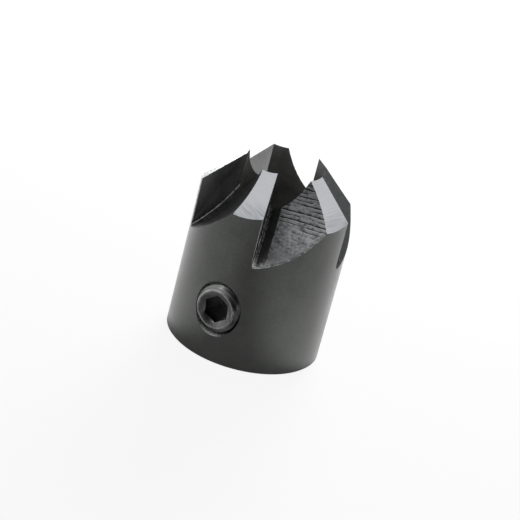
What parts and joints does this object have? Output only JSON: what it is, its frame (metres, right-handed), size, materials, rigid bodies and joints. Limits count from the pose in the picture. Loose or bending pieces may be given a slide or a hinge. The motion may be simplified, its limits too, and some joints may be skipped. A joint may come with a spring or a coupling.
{
  "type": "drill countersink",
  "caption": "Hollow steel countersink with sloping teeth that slides over a twist drill and is clamped there by a hex-socket grub screw in its side.",
  "frame": {"origin": "on the tool's axis, at the flat back face", "axes": "+Z along the tool's axis from the back face towards the teeth; the clamp screw faces -Y"},
  "size_m": [0.016, 0.0163, 0.02],
  "materials": {
    "blackened_steel": "black oxide tool steel, satin, with bare ground flanks on the teeth and milled flute floors",
    "screw_steel": "black oxide alloy steel, edges rubbed bright"
  },
  "bodies": {
    "body": {"countersink_body": "blackened_steel"},
    "screw": {"clamp_screw": "screw_steel"}
  },
  "joints": [
    {"name": "clamp_screw_travel", "type": "slide", "parent": "body", "child": "screw", "axis": [0, -1, 0], "range_m": [-0.0012, 0.0016]}
  ]
}
